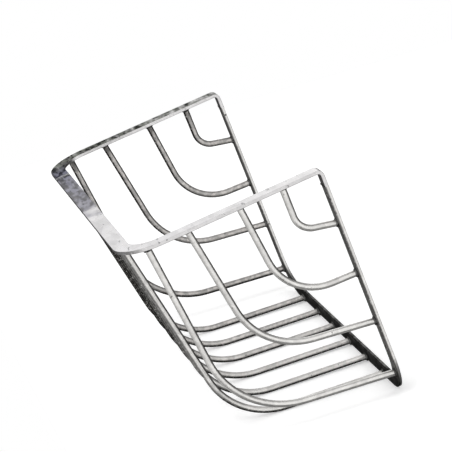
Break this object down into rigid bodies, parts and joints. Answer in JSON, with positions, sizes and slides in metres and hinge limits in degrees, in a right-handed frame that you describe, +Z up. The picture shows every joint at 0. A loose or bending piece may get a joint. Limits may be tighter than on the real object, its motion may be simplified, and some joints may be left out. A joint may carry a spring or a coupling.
{
  "type": "hay rack feeder",
  "caption": "Wall-hung galvanised hay rack: an open-topped basket of bent round bars welded to a flat-bar rim and a flat-bar wall frame.",
  "frame": {"origin": "on the wall plane, at the centre of the four fixing holes in the wall frame", "axes": "+X along the width, -Y from the wall out to the front of the basket, +Z up"},
  "size_m": [0.61, 0.292, 0.3499],
  "materials": {
    "galvanised_flat": "hot-dip galvanised flat bar, mottled",
    "galvanised_rod": "hot-dip galvanised round bar",
    "galvanised_weld": "galvanised weld bead"
  },
  "bodies": {
    "root": {"top_rim": "galvanised_flat", "wall_frame": "galvanised_flat", "front_rod_1": "galvanised_rod", "front_rod_2": "galvanised_rod", "front_rod_3": "galvanised_rod", "front_rod_4": "galvanised_rod", "front_rod_5": "galvanised_rod", "front_rod_6": "galvanised_rod", "left_side_rod_1": "galvanised_rod", "left_side_rod_2": "galvanised_rod", "left_side_rod_3": "galvanised_rod", "left_side_rod_4": "galvanised_rod", "right_side_rod_1": "galvanised_rod", "right_side_rod_2": "galvanised_rod", "right_side_rod_3": "galvanised_rod", "right_side_rod_4": "galvanised_rod", "frame_seam_welds": "galvanised_weld", "rim_seam_weld": "galvanised_weld", "left_rim_welds": "galvanised_weld", "right_rim_welds": "galvanised_weld", "left_upright_welds": "galvanised_weld", "right_upright_welds": "galvanised_weld", "front_rim_welds": "galvanised_weld", "bottom_strip_welds": "galvanised_weld"}
  },
  "joints": []
}
